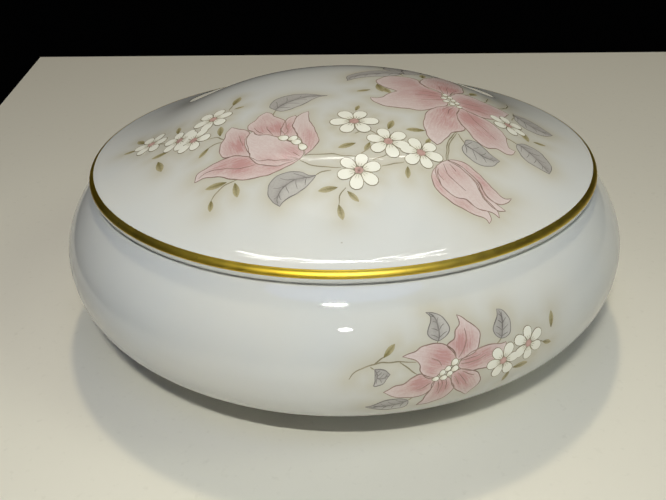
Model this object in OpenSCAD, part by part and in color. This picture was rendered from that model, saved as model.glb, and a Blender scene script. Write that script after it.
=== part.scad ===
// Round porcelain trinket box: a squat bowl and a domed lift-off lid with a gilt line
// round its rim. Z points up, the foot ring stands on Z = 0 and the axis is X = Y = 0.

/* [Bowl] */
// Diameter of the bowl at its widest
bowl_d = 130; // [104:1:180]
// Height of the widest line above the table
belly_z = 21.5; // [17:0.5:26]
// Height from the table up to the seat that the lid rests on
seat_z = 37.4; // [31:0.2:48]
// Thickness of the bowl's side wall
bowl_wall = 3; // [2:0.1:4]
// Thickness of the bowl's floor
floor_wall = 3.4; // [2.5:0.1:5]
// How far the mouth is in from the widest line
shoulder_in = 12; // [9.5:0.5:15]
// Width of the flat seat on top of the mouth's rim
seat_w = 2.1; // [1.4:0.1:2.6]
// Reach of the shoulder's curve, in from the widest line
shoulder_reach = 39.5; // [32:0.5:48]
// Reach of the underside's curve, in from the widest line
base_reach = 35; // [29:0.5:42]

/* [Foot ring] */
// How far the foot ring's outside is in from the widest line
foot_in = 27; // [22:1:28]
// Width of the ring's flat that stands on the table
foot_w = 2.4; // [1.6:0.1:4]
// Height of the hollow inside the foot ring
foot_h = 2.2; // [1.2:0.1:3]

/* [Lid] */
// How far the lid's rim reaches out past the mouth
rim_reach = 4.6; // [3.4:0.1:7]
// Thickness of the lid's rim, from its flat underside to the top of its roll
rim_t = 2.44; // [2:0.02:4]
// Radius of the rolled upper edge of the rim
roll_r = 1.3; // [0.9:0.1:1.5]
// Radius of the lower edge of the rim
edge_r = 0.9; // [0.4:0.1:1]
// Rise of the flared brim towards the middle
brim_rise = 8.7; // [5:0.1:16]
// Rise of the raised centre above the brim
dome_rise = 5.2; // [2:0.1:9]
// Radius of the raised centre, at the middle of its slope
dome_r = 38.8; // [28:0.2:46]
// Thickness of the lid's wall
lid_wall = 3; // [2:0.1:4]
// Depth of the flange that keeps the lid in place
flange_h = 4; // [2.5:0.1:7]
// Thickness of the flange
flange_t = 2.6; // [1.8:0.1:4]
// Gap between the flange and the mouth, all round
flange_gap = 0.7; // [0.3:0.1:1.5]

/* [Gilt line] */
// Thickness of the fired gilding
gilt_t = 0.12; // [0.08:0.01:0.25]
// Where the gilding starts on the roll, in degrees above its widest line
gilt_from = 10; // [0:1:20]

/* [Hidden] */

$fn = 96;
// Facets along a long curved stretch of an outline, and along a short one
long_steps = 14;
short_steps = 8;

porcelain = "#f2f4f6";
gilding = "#c9a227";

// Radii of the eased edges
lip_ease = 0.5;
seat_ease = 0.3;
foot_ease = 0.5;
flange_ease = 0.6;

// Bowl: the shoulder and the underside are quarters of superellipses, and the shoulder
// comes up to the seat's outer edge whatever the sizes are
belly_r = bowl_d / 2;
mouth_r = belly_r - shoulder_in;
foot_r = belly_r - foot_in;
floor_z = foot_h + 0.4;
seat_out_r = mouth_r + lip_ease + seat_w;
shoulder_power = 1.83;
base_power = 2.35;
shoulder_ring = belly_r - shoulder_reach;
base_ring = belly_r - base_reach;
shoulder_rise = (seat_z - belly_z)
    / height_at((seat_out_r + seat_ease / 2 - shoulder_ring) / shoulder_reach, shoulder_power);

// Lid: the roll ends where its slope is the slope of the brim
rim_r = mouth_r + rim_reach;
roll_to = 90 - atan(2 * brim_rise / (rim_r - roll_r));
roll_end_z = seat_z + rim_t;
roll_centre = [rim_r - roll_r, roll_end_z - roll_r * sin(roll_to)];
roll_end_r = roll_centre[0] + roll_r * cos(roll_to);
lower_edge_r = min(edge_r, roll_centre[1] - seat_z - 0.1);
flange_r = mouth_r - flange_gap;
flange_in_r = flange_r - flange_t;

// Height of a unit superellipse at the part u of its width, and the angle there
function height_at(u, power) = pow(1 - pow(u, power), 1 / power);
function angle_at_width(u, power) = acos(pow(u, power / 2));
function angle_at_height(u, power) = asin(pow(u, power / 2));

// Points on a quarter of a superellipse a wide and b high, between two angles
function oval(a, b, power, from, to) = [
    for (i = [0 : long_steps]) let (t = from + (to - from) * i / long_steps)
        [a * pow(cos(t), 2 / power), b * pow(sin(t), 2 / power)]
];

// The shoulder's outline, a wall's depth inside its surface, between two angles
function shoulder(depth, from, to) = [
    for (p = oval(shoulder_reach - depth, shoulder_rise - depth, shoulder_power, from, to))
        [shoulder_ring + p[0], belly_z + p[1]]
];

// The underside's outline, inside its surface by two depths: at the side and at the floor
function base(side, bottom, from, to) = [
    for (p = oval(base_reach - side, belly_z - floor_z - bottom, base_power, from, to))
        [base_ring + p[0], belly_z - p[1]]
];

// Points on an arc about a centre, from one angle to another
function arc(centre, r, from, to, n = short_steps) = [
    for (i = [0 : n]) let (t = from + (to - from) * i / n)
        centre + r * [cos(t), sin(t)]
];

// Height of the lid's upper surface at radius r
function dome(r) = dome_rise * exp(-pow(r / dome_r, 5));
function lid_top(r) =
    roll_end_z + brim_rise * (1 - pow(r / roll_end_r, 2)) + dome(r) - dome(roll_end_r);

// The lid's upper surface, dropped by a depth, from the axis out to radius r
function lid_skin(drop, r) = [
    for (i = [0 : 2 * long_steps]) let (x = r * i / (2 * long_steps))
        [x, lid_top(x) - drop]
];

// A list backwards, and a list without its first item
function reverse(list) = [for (i = [len(list) - 1 : -1 : 0]) list[i]];
function tail(list) = [for (i = [1 : len(list) - 1]) list[i]];

// Angles where the outer shoulder stops short of the seat, where its inner side meets the
// mouth, and where the underside meets the foot ring
seat_angle = angle_at_height((seat_z - seat_ease - belly_z) / shoulder_rise, shoulder_power);
mouth_angle = angle_at_width((mouth_r - shoulder_ring) / (shoulder_reach - bowl_wall),
    shoulder_power);
foot_angle = angle_at_width((foot_r - base_ring) / base_reach, base_power);

module bowl() {
    color(porcelain)
    rotate_extrude()
    polygon(concat(
        // Hollow under the floor, and the foot ring with its edges eased
        [[0, foot_h], [foot_r - foot_w - 3 * foot_ease, foot_h]],
        [[foot_r - foot_w - 2 * foot_ease, foot_ease], [foot_r - foot_w - foot_ease, 0]],
        [[foot_r - foot_ease, 0], [foot_r, foot_ease]],
        // Outside, from the foot ring up to the seat
        reverse(base(0, 0, 0, foot_angle)),
        tail(shoulder(0, 0, seat_angle)),
        [[seat_out_r, seat_z]],
        // Edge of the mouth
        arc([mouth_r + lip_ease, seat_z - lip_ease], lip_ease, 90, 180),
        // Inside, from the mouth down to the floor
        reverse(shoulder(bowl_wall, 0, mouth_angle)),
        tail(base(bowl_wall, floor_wall, 0, 90)),
        [[0, floor_z + floor_wall]]
    ));
}

// The lid's underside is flat where it rests on the seat, and domed inside the flange.
// Its rolled rim is lower by the gilding's thickness where the gilding lies.
module lid() {
    color(porcelain)
    rotate_extrude()
    polygon(concat(
        // Top
        lid_skin(0, roll_end_r),
        // Rolled rim, from the top round to the flat underside
        arc(roll_centre, roll_r - gilt_t, roll_to, gilt_from),
        arc(roll_centre, roll_r, gilt_from, 0, 2),
        arc([rim_r - lower_edge_r, seat_z + lower_edge_r], lower_edge_r, 0, -90),
        // Flange
        [[flange_r, seat_z], [flange_r, seat_z - flange_h + flange_ease]],
        [[flange_r - flange_ease, seat_z - flange_h]],
        [[flange_in_r + flange_ease, seat_z - flange_h]],
        [[flange_in_r, seat_z - flange_h + flange_ease]],
        // Underside of the dome
        reverse(lid_skin(lid_wall, flange_in_r))
    ));
}

// Ring of gilding, which follows the roll of the rim
module gilt_band() {
    color(gilding)
    rotate_extrude()
    polygon(concat(
        arc(roll_centre, roll_r, gilt_from, roll_to),
        arc(roll_centre, roll_r - gilt_t, roll_to, gilt_from)
    ));
}

bowl();
lid();
gilt_band();
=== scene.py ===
import math

import bpy
import numpy as np
from mathutils import Matrix, Vector
from mathutils.geometry import delaunay_2d_cdt


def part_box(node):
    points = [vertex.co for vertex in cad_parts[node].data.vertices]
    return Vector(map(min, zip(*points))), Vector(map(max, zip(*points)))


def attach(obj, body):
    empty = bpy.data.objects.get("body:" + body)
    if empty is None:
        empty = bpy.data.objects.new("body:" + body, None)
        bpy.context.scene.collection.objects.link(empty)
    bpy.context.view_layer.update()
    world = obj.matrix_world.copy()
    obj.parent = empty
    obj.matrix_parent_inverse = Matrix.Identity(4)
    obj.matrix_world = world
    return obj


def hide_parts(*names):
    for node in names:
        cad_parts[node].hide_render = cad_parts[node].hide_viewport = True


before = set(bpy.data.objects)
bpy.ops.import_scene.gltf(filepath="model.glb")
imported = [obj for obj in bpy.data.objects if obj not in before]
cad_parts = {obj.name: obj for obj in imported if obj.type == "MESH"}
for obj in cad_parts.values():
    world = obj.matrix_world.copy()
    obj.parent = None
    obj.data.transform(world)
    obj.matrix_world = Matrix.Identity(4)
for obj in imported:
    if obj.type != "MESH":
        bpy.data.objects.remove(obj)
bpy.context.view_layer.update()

# Everything below is worked out in millimetres and made in metres.
MM = 0.001

# ---- sizes of the box

bowl_low, bowl_high = [[v / MM for v in corner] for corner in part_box("bowl")]
lid_low, lid_high = [[v / MM for v in corner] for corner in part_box("lid")]

BELLY_R = min(bowl_high[0], bowl_high[1], -bowl_low[0], -bowl_low[1])
BELLY_Z = 21.5
SEAT_Z = bowl_high[2]
BOWL_WALL = 3.0
FLOOR_WALL = 3.4
MOUTH_R = BELLY_R - 12.0
SEAT_OUT_R = MOUTH_R + 2.6
SEAT_EASE = 0.35
LIP_EASE = 0.5
SHOULDER_REACH = 39.5
SHOULDER_POWER = 1.83
SHOULDER_RING = BELLY_R - SHOULDER_REACH
BASE_REACH = 35.0
BASE_POWER = 2.35
BASE_RING = BELLY_R - BASE_REACH
BASE_Z = 2.6
FOOT_R = BELLY_R - 27.0
FOOT_IN_R = FOOT_R - 2.4
FOOT_H = 2.2
FOOT_EASE = 0.5
FOOT_IN_EASE = 0.6

RIM_R = min(lid_high[0], lid_high[1], -lid_low[0], -lid_low[1])
RIM_T = 2.44
ROLL_R = 1.3
EDGE_R = 0.9
BRIM_RISE = 8.7
DOME_R = 38.8
DOME_POWER = 5
LID_WALL = 3.0
FLANGE_H = 4.0
FLANGE_R = MOUTH_R - 0.7
FLANGE_IN_R = FLANGE_R - 2.6
FLANGE_EASE = 0.6

# The roll of the rim: the angle at which it meets the brim, its middle and its end
ROLL_TO = 90 - math.degrees(math.atan(2 * BRIM_RISE / (RIM_R - ROLL_R)))
ROLL_END_Z = SEAT_Z + RIM_T
ROLL_R_MID = RIM_R - ROLL_R
ROLL_Z_MID = ROLL_END_Z - ROLL_R * math.sin(math.radians(ROLL_TO))
ROLL_END_R = ROLL_R_MID + ROLL_R * math.cos(math.radians(ROLL_TO))
DOME_RISE = lid_high[2] - ROLL_END_Z - BRIM_RISE

# The gilding: where it starts on the roll, how thick it is, how far it goes on the brim
GILT_FROM = 2.0
GILT_T = 0.12
GILT_MARGIN = 0.15

TURNS = 256


# ---- outlines of the porcelain

def quarter(width, height, power, start, end, count):
    """Points on a quarter of a superellipse, between two angles in degrees."""
    t = np.radians(np.linspace(start, end, count))
    return np.stack([width * np.cos(t) ** (2 / power), height * np.sin(t) ** (2 / power)], 1)


def arc(r, z, radius, start, end, count=10):
    """Points on an arc about (r, z), between two angles in degrees."""
    t = np.radians(np.linspace(start, end, count))
    return np.stack([r + radius * np.cos(t), z + radius * np.sin(t)], 1)


def level(start, end, z, count=12):
    """Points on a level line between two radii."""
    return np.stack([np.linspace(start, end, count), np.full(count, z)], 1)


def superellipse_height(u, power):
    return (1 - u ** power) ** (1 / power)


def angle_at_width(u, power):
    return math.degrees(math.acos(u ** (power / 2)))


def angle_at_height(u, power):
    return math.degrees(math.asin(u ** (power / 2)))


SHOULDER_RISE = (SEAT_Z - BELLY_Z) / superellipse_height(
    (SEAT_OUT_R + 0.15 - SHOULDER_RING) / SHOULDER_REACH, SHOULDER_POWER)


def shoulder(depth, start, end, count):
    """The bowl above its widest line, a wall's depth inside the surface."""
    points = quarter(SHOULDER_REACH - depth, SHOULDER_RISE - depth, SHOULDER_POWER,
                     start, end, count)
    return points + [SHOULDER_RING, BELLY_Z]


def base(side, bottom, start, end, count):
    """The bowl under its widest line, inside the surface by two depths."""
    points = quarter(BASE_REACH - side, BELLY_Z - BASE_Z - bottom, BASE_POWER,
                     start, end, count)
    return points * [1, -1] + [BASE_RING, BELLY_Z]


def dome(r):
    return DOME_RISE * np.exp(-(r / DOME_R) ** DOME_POWER)


def lid_top(r):
    """Height of the lid's upper surface at radius r."""
    return ROLL_END_Z + BRIM_RISE * (1 - (r / ROLL_END_R) ** 2) + dome(r) - dome(ROLL_END_R)


def pooled(r):
    """The glaze that gathered in a low swelling just inside the gilding."""
    return 0.03 * np.exp(-((r - ROLL_END_R + 1.1) / 1.0) ** 2)


def bowl_outline():
    seat_angle = angle_at_height((SEAT_Z - 0.3 - BELLY_Z) / SHOULDER_RISE, SHOULDER_POWER)
    mouth_angle = angle_at_width((MOUTH_R - SHOULDER_RING) / (SHOULDER_REACH - BOWL_WALL),
                                 SHOULDER_POWER)
    foot_angle = angle_at_width((FOOT_R - BASE_RING) / BASE_REACH, BASE_POWER)
    return np.concatenate([
        level(0, FOOT_IN_R - 3 * FOOT_EASE, FOOT_H),
        arc(FOOT_IN_R, FOOT_IN_EASE, FOOT_IN_EASE, 200, 270, 5),
        arc(FOOT_R - FOOT_EASE, FOOT_EASE, FOOT_EASE, -90, 0, 6),
        base(0, 0, 0, foot_angle, 50)[::-1],
        shoulder(0, 0, seat_angle, 44)[1:],
        arc(SEAT_OUT_R - 0.2, SEAT_Z - SEAT_EASE, SEAT_EASE, 50, 90, 5),
        arc(MOUTH_R + LIP_EASE, SEAT_Z - LIP_EASE, LIP_EASE, 90, 180, 7),
        shoulder(BOWL_WALL, 0, mouth_angle, 30)[::-1],
        base(BOWL_WALL, FLOOR_WALL, 0, 88, 40)[1:],
        level(BASE_RING - 1, 0, BASE_Z + FLOOR_WALL),
    ])


def lid_outline():
    out = np.concatenate([np.linspace(0, 52, 104), np.linspace(52.3, ROLL_END_R, 24)])
    under = np.linspace(FLANGE_IN_R, 0, 60)
    low = SEAT_Z - FLANGE_H
    return np.concatenate([
        np.stack([out, lid_top(out) + pooled(out)], 1),
        arc(ROLL_R_MID, ROLL_Z_MID, ROLL_R - GILT_T, ROLL_TO, GILT_FROM, 12),
        arc(ROLL_R_MID, ROLL_Z_MID, ROLL_R, GILT_FROM, 0, 3),
        arc(RIM_R - EDGE_R, SEAT_Z + EDGE_R, EDGE_R, 0, -90, 9),
        [[FLANGE_R + 0.3, SEAT_Z], [FLANGE_R, SEAT_Z - 0.3]],
        arc(FLANGE_R - FLANGE_EASE, low + FLANGE_EASE, FLANGE_EASE, 0, -90, 6),
        arc(FLANGE_IN_R + FLANGE_EASE, low + FLANGE_EASE, FLANGE_EASE, -90, -180, 6),
        np.stack([under, lid_top(under) - LID_WALL], 1),
    ])


def gilt_outline():
    """The band on the roll, and its thin brushed margin on the brim."""
    edge = np.linspace(ROLL_END_R, ROLL_END_R - GILT_MARGIN, 5)
    return np.concatenate([
        arc(ROLL_R_MID, ROLL_Z_MID, ROLL_R - GILT_T, GILT_FROM, ROLL_TO, 14),
        np.stack([edge, lid_top(edge) - 0.06], 1),
        np.stack([edge, lid_top(edge) + pooled(edge) + 0.02], 1)[::-1],
        arc(ROLL_R_MID, ROLL_Z_MID, ROLL_R, ROLL_TO - 1, GILT_FROM, 14),
    ])


# ---- node tree helpers

def add(tree, kind, *plugs, into=None, **settings):
    """A node with its settings, and its inputs filled in order or, by into, as they are named."""
    node = tree.nodes.new(kind)
    for key, value in settings.items():
        setattr(node, key, value)
    for key, plug in [*enumerate(plugs), *(into or {}).items()]:
        if isinstance(plug, bpy.types.NodeSocket):
            tree.links.new(plug, node.inputs[key])
        elif plug is not None:
            node.inputs[key].default_value = plug
    return node


def maths(tree, operation, *plugs):
    return add(tree, "ShaderNodeMath", *plugs, operation=operation).outputs[0]


def new_tree(name, sizes):
    """A geometry node tree with named sizes and a finish, and the sockets they come from."""
    tree = bpy.data.node_groups.new(name, "GeometryNodeTree")
    sockets = [("Geometry", "Geometry", None), *sizes, ("Finish", "Material", None)]
    for label, kind, value in sockets:
        socket = tree.interface.new_socket(label, in_out="INPUT",
                                           socket_type="NodeSocket" + kind)
        if value is not None:
            socket.default_value = value
    tree.interface.new_socket("Geometry", in_out="OUTPUT", socket_type="NodeSocketGeometry")
    return tree, tree.nodes.new("NodeGroupInput").outputs


def end_tree(tree, given, geometry):
    """Ends a tree with real geometry in its finish."""
    real = add(tree, "GeometryNodeRealizeInstances", geometry)
    finish = add(tree, "GeometryNodeSetMaterial", real.outputs[0],
                 into={"Material": given["Finish"]})
    add(tree, "NodeGroupOutput", finish.outputs[0])
    return tree


def read_value(tree, label):
    """A point value of the mesh, inside a geometry node tree."""
    return add(tree, "GeometryNodeInputNamedAttribute", label, data_type="FLOAT").outputs[0]


def store_value(tree, geometry, label, value):
    node = add(tree, "GeometryNodeStoreNamedAttribute", geometry, data_type="FLOAT",
               domain="POINT", into={"Name": label, "Value": value})
    return node.outputs[0]


def run_tree(obj, tree, sizes, name):
    """Evaluates a tree on an object into a plain mesh object, and takes both away."""
    modifier = obj.modifiers.new("nodes", "NODES")
    modifier.node_group = tree
    by_name = {s.name: s.identifier for s in tree.interface.items_tree if s.in_out == "INPUT"}
    for label, value in sizes.items():
        modifier[by_name[label]] = value
    bpy.context.view_layer.update()
    made = obj.evaluated_get(bpy.context.evaluated_depsgraph_get())
    mesh = bpy.data.meshes.new_from_object(made)
    mesh.name = name
    bpy.data.objects.remove(obj)
    return link(name, mesh)


# ---- mesh helpers

def link(name, data):
    obj = bpy.data.objects.new(name, data)
    bpy.context.scene.collection.objects.link(obj)
    return obj


def mesh_object(name, points, edges=(), faces=(), **values):
    mesh = bpy.data.meshes.new(name)
    mesh.from_pydata([tuple(p) for p in points], [tuple(e) for e in edges],
                     [tuple(f) for f in faces])
    for label, numbers in values.items():
        add_values(mesh, label, numbers)
    return link(name, mesh)


def add_values(mesh, label, numbers):
    layer = mesh.attributes.new(label, "FLOAT", "POINT")
    layer.data.foreach_set("value", np.asarray(numbers, dtype=np.float32))


def coords(mesh):
    flat = np.empty(len(mesh.vertices) * 3)
    mesh.vertices.foreach_get("co", flat)
    return flat.reshape(-1, 3)


def set_coords(mesh, points):
    mesh.vertices.foreach_set("co", np.ascontiguousarray(points, dtype=np.float32).ravel())
    mesh.update()


def face_outwards(mesh):
    """Flips the faces of a closed mesh whose signed volume is negative."""
    mesh.calc_loop_triangles()
    corners = np.empty(len(mesh.loop_triangles) * 3, dtype=np.int32)
    mesh.loop_triangles.foreach_get("vertices", corners)
    a, b, c = coords(mesh)[corners.reshape(-1, 3)].transpose(1, 0, 2)
    if np.einsum("ij,ij->", a, np.cross(b, c)) < 0:
        mesh.flip_normals()


def soften(mesh):
    """Smooth faces, with a crisp turn at the edge of the print."""
    mesh.shade_smooth()
    mesh.set_sharp_from_angle(angle=math.radians(40))


# ---- turning an outline round

def lathe_tree():
    """Turns an outline, points in order in the XZ plane, round the Z axis."""
    tree, given = new_tree("turned outline", [("Outline points", "Int", 10),
                                              ("Turns", "Int", TURNS)])
    around = maths(tree, "ADD", given["Turns"], 1.0)
    grid = add(tree, "GeometryNodeMeshGrid", 1.0, 1.0, given["Outline points"], around)
    index = add(tree, "GeometryNodeInputIndex").outputs[0]
    row = maths(tree, "FLOOR", maths(tree, "DIVIDE", maths(tree, "ADD", index, 0.5), around))
    column = maths(tree, "SUBTRACT", index, maths(tree, "MULTIPLY", row, around))
    angle = maths(tree, "MULTIPLY", maths(tree, "DIVIDE", column, given["Turns"]), math.tau)
    pick = add(tree, "GeometryNodeSampleIndex", data_type="FLOAT_VECTOR",
               into={"Geometry": given["Geometry"], "Index": row,
                     "Value": add(tree, "GeometryNodeInputPosition").outputs[0]})
    outline = add(tree, "ShaderNodeSeparateXYZ", pick.outputs[0])
    turned = add(tree, "ShaderNodeCombineXYZ",
                 maths(tree, "MULTIPLY", outline.outputs["X"], maths(tree, "COSINE", angle)),
                 maths(tree, "MULTIPLY", outline.outputs["X"], maths(tree, "SINE", angle)),
                 outline.outputs["Z"])
    moved = add(tree, "GeometryNodeSetPosition", grid.outputs[0],
                into={"Position": turned.outputs[0]})
    closed = add(tree, "GeometryNodeMergeByDistance", moved.outputs[0],
                 into={"Distance": 0.0005 * MM})
    smooth = add(tree, "GeometryNodeSetShadeSmooth", closed.outputs[0])
    return end_tree(tree, given, smooth.outputs[0])


LATHE = lathe_tree()


def turn(name, outline, finish, closed=False):
    """A body of revolution as a plain mesh with its faces outwards."""
    points = [(r * MM, 0, z * MM) for r, z in outline]
    if closed:
        points.append(points[0])
    edges = [(i, i + 1) for i in range(len(points) - 1)]
    obj = run_tree(mesh_object(name + "_outline", points, edges), LATHE,
                   {"Outline points": len(points), "Turns": TURNS, "Finish": finish}, name)
    face_outwards(obj.data)
    return obj


# ---- where a print lies

# A print on the lid is drawn in plan. A print on the bowl is drawn unrolled: along the
# widest line to the right of the front, and up the wall from that line.
wall_r, wall_z = np.concatenate([base(0, 0, 0, 80, 600)[::-1], shoulder(0, 0, 60, 600)[1:]]).T
wall_run = np.concatenate([[0], np.cumsum(np.hypot(np.diff(wall_r), np.diff(wall_z)))])
wall_run -= np.interp(BELLY_Z, wall_z, wall_run)


def on_lid(u, v, height):
    r = np.hypot(u, v)
    slope = (lid_top(r + 0.01) - lid_top(r - 0.01)) / 0.02
    length = np.sqrt(1 + slope ** 2)
    out = -slope / length * height / np.maximum(r, 1e-6)
    return np.stack([u + u * out, v + v * out, lid_top(r) + height / length], 1) * MM


def on_bowl(u, v, height):
    r, z = np.interp(v, wall_run, wall_r), np.interp(v, wall_run, wall_z)
    dr = np.interp(v + 0.05, wall_run, wall_r) - np.interp(v - 0.05, wall_run, wall_r)
    dz = np.interp(v + 0.05, wall_run, wall_z) - np.interp(v - 0.05, wall_run, wall_z)
    length = np.hypot(dr, dz)
    r, z = r + dz / length * height, z - dr / length * height
    bearing = u / BELLY_R
    return np.stack([r * np.sin(bearing), -r * np.cos(bearing), z], 1) * MM


# ---- drawing the prints

# How high the top of each kind of print stands over the glaze
HEIGHTS = {
    "grey_leaves": 0.02, "leaflets": 0.028, "stalks": 0.034, "leaf_lines": 0.036,
    "pink_petals": 0.038, "petal_lines": 0.068, "blossom_shade": 0.074, "stamen_shade": 0.078,
    "blossoms": 0.082, "blossom_lines": 0.087, "hearts": 0.09, "stamens": 0.09,
}
# Half the width of each kind of pen line
PENS = {"stalk": 0.12, "petal": 0.095, "fold": 0.075, "vein": 0.13, "rib": 0.07,
        "leaf_edge": 0.1, "ray": 0.065, "long_ray": 0.10}
# How far the back of a print is sunk in the glaze, and the step where petals or leaves overlap
SUNK = 0.08
STEP = 0.004


def hand(points):
    """The slight unsteadiness of a drawn line, the same for a fill and its outline."""
    x, y = points[:, 0], points[:, 1]
    shift = np.stack([np.sin(1.3 * y + 0.5 * x) + 0.5 * np.sin(2.6 * y - 1.2 * x + 1),
                      np.sin(1.5 * x - 0.7 * y + 2) + 0.5 * np.sin(2.4 * x + 1.1 * y)], 1)
    return points + 0.07 * shift


def spline(points, spacing=0.3):
    """A smooth run through the points, which keeps both of its ends."""
    p = np.asarray(points, dtype=float)
    if len(p) < 3:
        count = max(2, int(np.hypot(*(p[-1] - p[0])) / spacing) + 1)
        return p[0] + (p[-1] - p[0]) * np.linspace(0, 1, count)[:, None]
    p = np.concatenate([[2 * p[0] - p[1]], p, [2 * p[-1] - p[-2]]])
    out = []
    for a, b, c, d in zip(p[:-3], p[1:-2], p[2:-1], p[3:]):
        count = max(2, int(np.hypot(*(c - b)) / spacing) + 1)
        t = np.linspace(0, 1, count, endpoint=False)[:, None]
        out.append(0.5 * (2 * b + (c - a) * t + (2 * a - 5 * b + 4 * c - d) * t ** 2
                          + (3 * b - a - 3 * c + d) * t ** 3))
    return np.concatenate(out + [p[-2:-1]])


def whole_runs(runs):
    """Gives each run of a closed outline its first point, which is the last run's end."""
    return [[last[-1], *run] for last, run in zip([runs[-1], *runs[:-1]], runs)]


def loop_of(runs):
    """One closed outline from runs that follow each other end to end."""
    return np.concatenate([spline(run)[:-1] for run in runs])


def inside(points, outline):
    """Which points lie inside a closed outline."""
    a, b = outline, np.roll(outline, -1, axis=0)
    x, y = points[:, 0, None], points[:, 1, None]
    crosses = (a[:, 1] > y) != (b[:, 1] > y)
    with np.errstate(divide="ignore", invalid="ignore"):
        at = a[:, 0] + (y - a[:, 1]) * (b[:, 0] - a[:, 0]) / (b[:, 1] - a[:, 1])
    return (crosses & (x < at)).sum(1) % 2 == 1


def nearest(points, marks):
    """Distance from each point to the nearest mark."""
    best = np.full(len(points), 1e9)
    for part in np.array_split(marks, max(1, len(marks) // 400)):
        gap = np.hypot(points[:, 0, None] - part[:, 0], points[:, 1, None] - part[:, 1])
        best = np.minimum(best, gap.min(1))
    return best


def patch(outline, grain=0.7):
    """Triangles that fill a closed outline, close enough together to follow the surface."""
    low, high = outline.min(0), outline.max(0)
    rows = np.arange(low[1], high[1], grain * 0.866)
    grid = np.array([(x + grain / 2 * (i % 2), y) for i, y in enumerate(rows)
                     for x in np.arange(low[0], high[0], grain)])
    grid = grid[inside(grid, outline)]
    if len(grid):
        grid = grid[nearest(grid, outline) > 0.45 * grain]
    points = np.concatenate([outline, grid.reshape(-1, 2)])
    count = len(outline)
    border = [(i, (i + 1) % count) for i in range(count)]
    made = delaunay_2d_cdt([Vector(p) for p in points], border, [], 1, 1e-5)
    return np.array([tuple(p) for p in made[0]]), [tuple(f) for f in made[2]]


def turn_of(points, face):
    """Which way round a flat face goes, from its first three corners."""
    a, b, c = (points[i] for i in face[:3])
    return (b[0] - a[0]) * (c[1] - a[1]) - (b[1] - a[1]) * (c[0] - a[0])


class Print:
    """Flat pieces of one kind of print, gathered before they are laid on the porcelain."""

    def __init__(self):
        self.points, self.faces, self.values = [], [], {"tone": [], "along": [], "across": []}

    def lay(self, points, faces, height, tone, along, across):
        """A closed shell with its top at a height and its back sunk in the glaze."""
        start, count = sum(len(p) for p in self.points), len(points)
        if sum(turn_of(points, f) for f in faces) < 0:
            faces = [f[::-1] for f in faces]
        half = set()
        for f in faces:
            half.update(zip(f, f[1:] + f[:1]))
        rim = [(a, b) for a, b in half if (b, a) not in half]
        self.points.append(np.column_stack([points, np.full(count, height)]))
        self.points.append(np.column_stack([points, np.full(count, -SUNK)]))
        self.faces += [tuple(start + i for i in f) for f in faces]
        self.faces += [tuple(start + count + i for i in f[::-1]) for f in faces]
        self.faces += [(start + b, start + a, start + count + a, start + count + b)
                       for a, b in sorted(rim)]
        for key, value in zip(("tone", "along", "across"), (tone, along, across)):
            self.values[key].append(np.tile(np.broadcast_to(value, count), 2))

    def fired(self, name, place, finish):
        """The finished piece, laid on the porcelain."""
        points = np.concatenate(self.points)
        values = {key: np.concatenate(parts) for key, parts in self.values.items()}
        points[:, :2] = hand(points[:, :2])
        obj = mesh_object(name, place(*points.T), (), self.faces, **values)
        obj.data.materials.append(finish)
        soften(obj.data)
        return obj


def print_petal(art, runs, blush, height):
    """A pink petal. Its colour deepens about each blush spot, (x, y, radius, depth)."""
    outline = loop_of(runs)
    points, faces = patch(outline)
    depth = np.zeros(len(points))
    for x, y, radius, strength in blush:
        gap = np.hypot(points[:, 0] - x, points[:, 1] - y)
        depth = np.maximum(depth, strength * np.exp(-(gap / radius) ** 2 * 0.7))
    edge = np.clip(nearest(points, outline) / 1.2, 0, 1)
    heart, tip = np.array(runs[0][0]), np.array(runs[0][-1])
    way = (tip - heart) / np.hypot(*(tip - heart))
    along = (points - heart) @ way
    across = (points - heart) @ np.array([-way[1], way[0]])
    art.lay(points, faces, height, depth * (0.6 + 0.4 * edge) + 0.12 * edge, along, across)
    return outline


VEIN_POINTS = 24


def leaf_vein(runs):
    """A leaf's two sides from its stalk to its tip, and the line between them."""
    t = np.linspace(0, 1, VEIN_POINTS)
    left, right = [
        np.stack([np.interp(t, np.linspace(0, 1, len(s)), s[:, k]) for k in (0, 1)], 1)
        for s in (spline(runs[0], 0.2), spline(runs[1], 0.2)[::-1])]
    return left, right, (left + right) / 2


def print_leaf(art, strokes, runs, height):
    """A grey leaf: a dark side and a pale side, with its ribs drawn in."""
    outline = loop_of(runs)
    points, faces = patch(outline)
    left, right, middle = leaf_vein(runs)
    to_left, to_right = nearest(points, left), nearest(points, right)
    to_vein = nearest(points, middle)
    tone = np.where(to_left < to_right, 0.55, 0.2) + 0.45 * np.exp(-(to_vein / 0.7) ** 2)
    art.lay(points, faces, height, np.clip(tone, 0, 1), to_vein, to_left)
    strokes.append((middle[:-2], PENS["vein"]))
    last = VEIN_POINTS - 1
    for side in (left, right):
        for share in (0.2, 0.38, 0.56, 0.72):
            start, ahead = int(share * last), min(last, int((share + 0.16) * last))
            reach = middle[start] + 0.72 * (side[ahead] - middle[start])
            bend = (middle[start] + reach) / 2 + 0.08 * (side[ahead] - side[start])
            strokes.append((spline([middle[start], bend, reach]), PENS["rib"]))
    strokes.extend((spline(run), PENS["leaf_edge"]) for run in runs)
    return outline


# ---- pen strokes

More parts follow.
